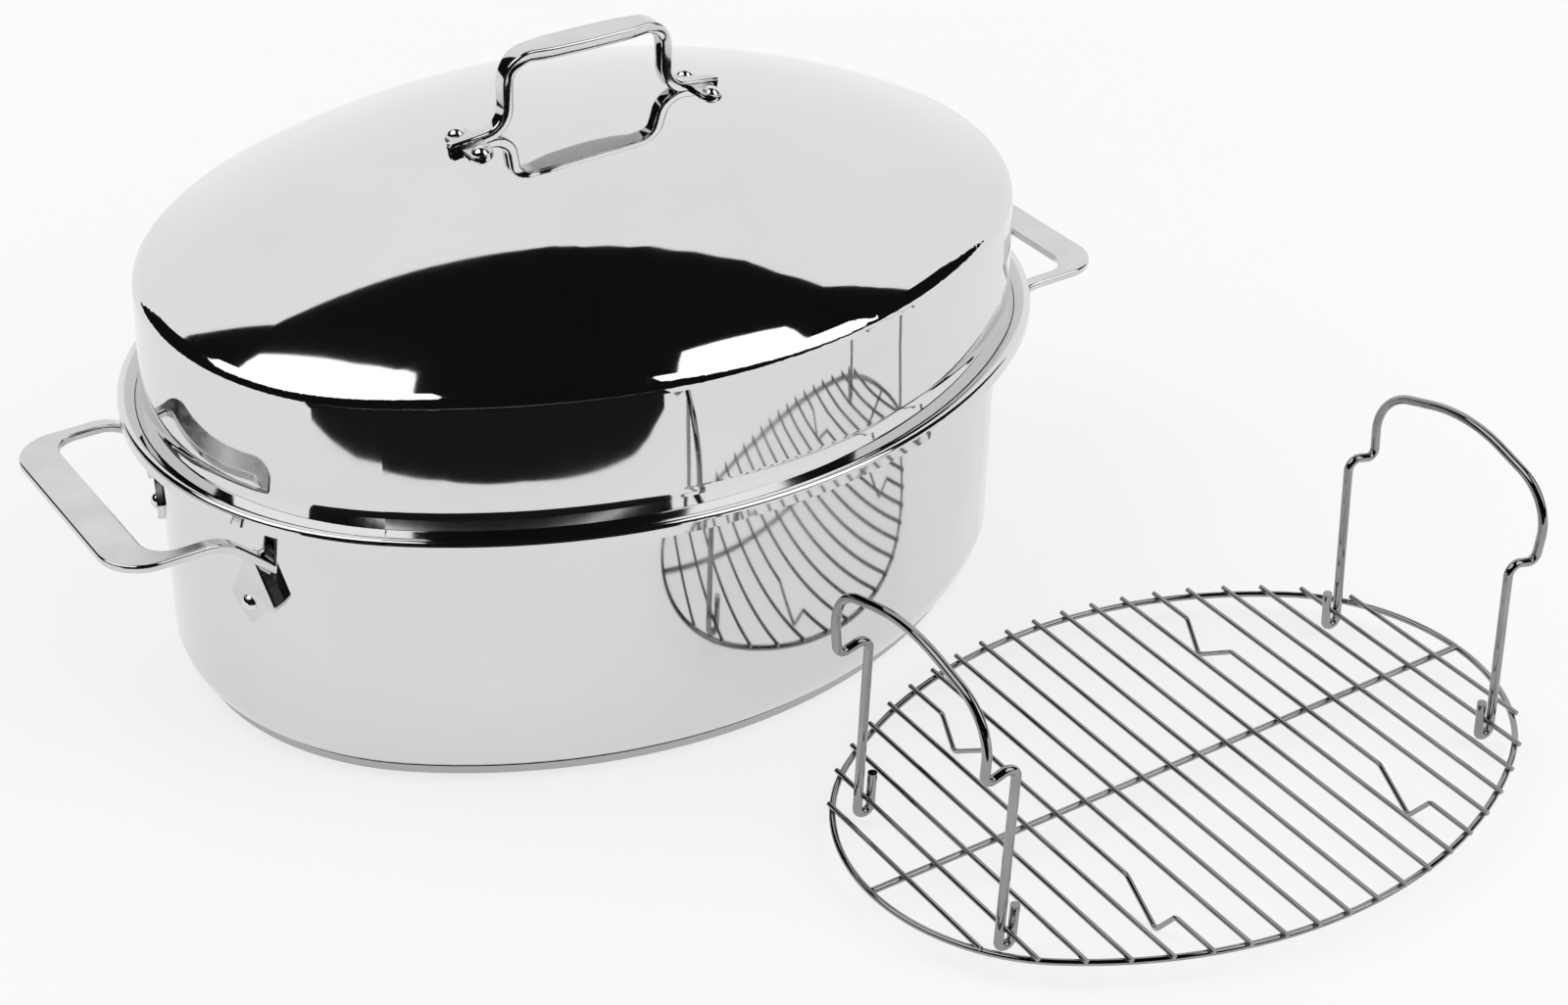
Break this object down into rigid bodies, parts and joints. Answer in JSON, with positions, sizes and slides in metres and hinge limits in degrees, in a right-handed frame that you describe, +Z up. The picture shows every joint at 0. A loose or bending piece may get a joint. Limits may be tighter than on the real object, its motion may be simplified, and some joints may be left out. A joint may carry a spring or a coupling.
{
  "type": "covered roasting pan with rack",
  "caption": "Covered oval roasting pan with riveted loop handles, a domed lid, and a wire roasting rack with swinging lift handles.",
  "frame": {"origin": "on the floor under the middle of the pan, in the plane that its base stands on", "axes": "+X along the pan's long axis towards the handle on the side where the rack stands farther away, +Y away from the rack, +Z up"},
  "size_m": [0.5295, 0.5442, 0.2667],
  "materials": {
    "polished_steel": "mirror-polished stainless steel",
    "satin_steel": "satin stainless steel",
    "core_aluminium": "plain aluminium",
    "wire_steel": "bright drawn wire"
  },
  "bodies": {
    "pan": {"pan_shell": "polished_steel", "base_core": "core_aluminium", "base_cap": "satin_steel", "side_handle_left": "satin_steel", "side_handle_right": "satin_steel", "side_rivets_left": "polished_steel", "side_rivets_right": "polished_steel"},
    "lid": {"lid_shell": "polished_steel", "lid_handle": "polished_steel", "lid_rivets": "polished_steel"},
    "rack": {"rack_rim": "wire_steel", "rack_spine": "wire_steel", "cross_wire_01": "wire_steel", "cross_wire_02": "wire_steel", "cross_wire_03": "wire_steel", "cross_wire_04": "wire_steel", "cross_wire_05": "wire_steel", "cross_wire_06": "wire_steel", "cross_wire_07": "wire_steel", "cross_wire_08": "wire_steel", "cross_wire_09": "wire_steel", "cross_wire_10": "wire_steel", "cross_wire_11": "wire_steel", "cross_wire_12": "wire_steel", "cross_wire_13": "wire_steel", "cross_wire_14": "wire_steel", "cross_wire_15": "wire_steel", "cross_wire_16": "wire_steel", "cross_wire_17": "wire_steel", "cross_wire_18": "wire_steel", "cross_wire_19": "wire_steel", "cross_wire_20": "wire_steel"},
    "rack_handle_left": {"rack_handle_left": "wire_steel"},
    "rack_handle_right": {"rack_handle_right": "wire_steel"}
  },
  "joints": [
    {"name": "lid_lift", "type": "slide", "parent": "pan", "child": "lid", "axis": [0, 0, 1], "range_m": [0, 0.25]},
    {"name": "rack_lift", "type": "slide", "parent": "pan", "child": "rack", "axis": [0, 0, 1], "range_m": [0, 0.25]},
    {"name": "left_handle_hinge", "type": "hinge", "parent": "rack", "child": "rack_handle_left", "pos_m": [-0.00468, -0.26858, 0.0139], "axis": [0.0175, 0.9998, 0], "range_deg": [-63, 85]},
    {"name": "right_handle_hinge", "type": "hinge", "parent": "rack", "child": "rack_handle_right", "pos_m": [0.25028, -0.27303, 0.0139], "axis": [0.0175, 0.9998, 0], "range_deg": [-82, 66]}
  ]
}
